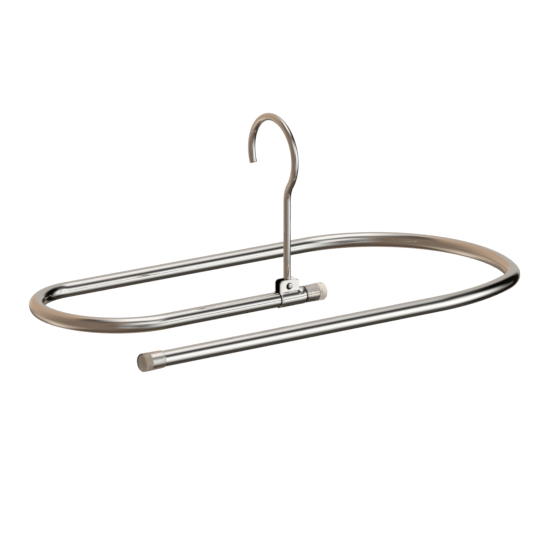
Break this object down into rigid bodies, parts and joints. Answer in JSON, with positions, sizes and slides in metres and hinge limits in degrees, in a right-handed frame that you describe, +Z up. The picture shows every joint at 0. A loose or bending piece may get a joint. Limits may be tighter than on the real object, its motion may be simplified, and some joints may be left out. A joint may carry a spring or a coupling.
{
  "type": "towel hanger",
  "caption": "Open-spiral towel hanger: a bent steel tube with capped ends, hung from a rod hook that pivots on a riveted clip.",
  "frame": {"origin": "where a rail bears, at the highest point of the inside of the hook", "axes": "+X along the tube's straight runs towards the large bend, +Y from the open end of the spiral towards the long back run, +Z up along the hook's stem"},
  "size_m": [0.4071, 0.2138, 0.1575],
  "materials": {
    "tube_steel": "mirror-polished stainless tube, fine lengthwise polishing lines",
    "rod_steel": "mirror-polished stainless rod",
    "sheet_steel": "polished stainless sheet, slightly hazed, deburred edges",
    "rivet_steel": "polished steel rivet heads",
    "cap_vinyl": "soft clear vinyl with a warm beige tint, glossy"
  },
  "bodies": {
    "hook": {"hook_rod": "rod_steel"},
    "frame": {"frame_tube": "tube_steel", "pivot_bracket": "sheet_steel", "pivot_rivet": "rivet_steel", "inner_cap": "cap_vinyl", "outer_cap": "cap_vinyl"}
  },
  "joints": [
    {"name": "frame_tilt", "type": "hinge", "parent": "hook", "child": "frame", "pos_m": [0, -0.02054, -0.13324], "axis": [0, 1, 0], "range_deg": [-90, 90]}
  ]
}
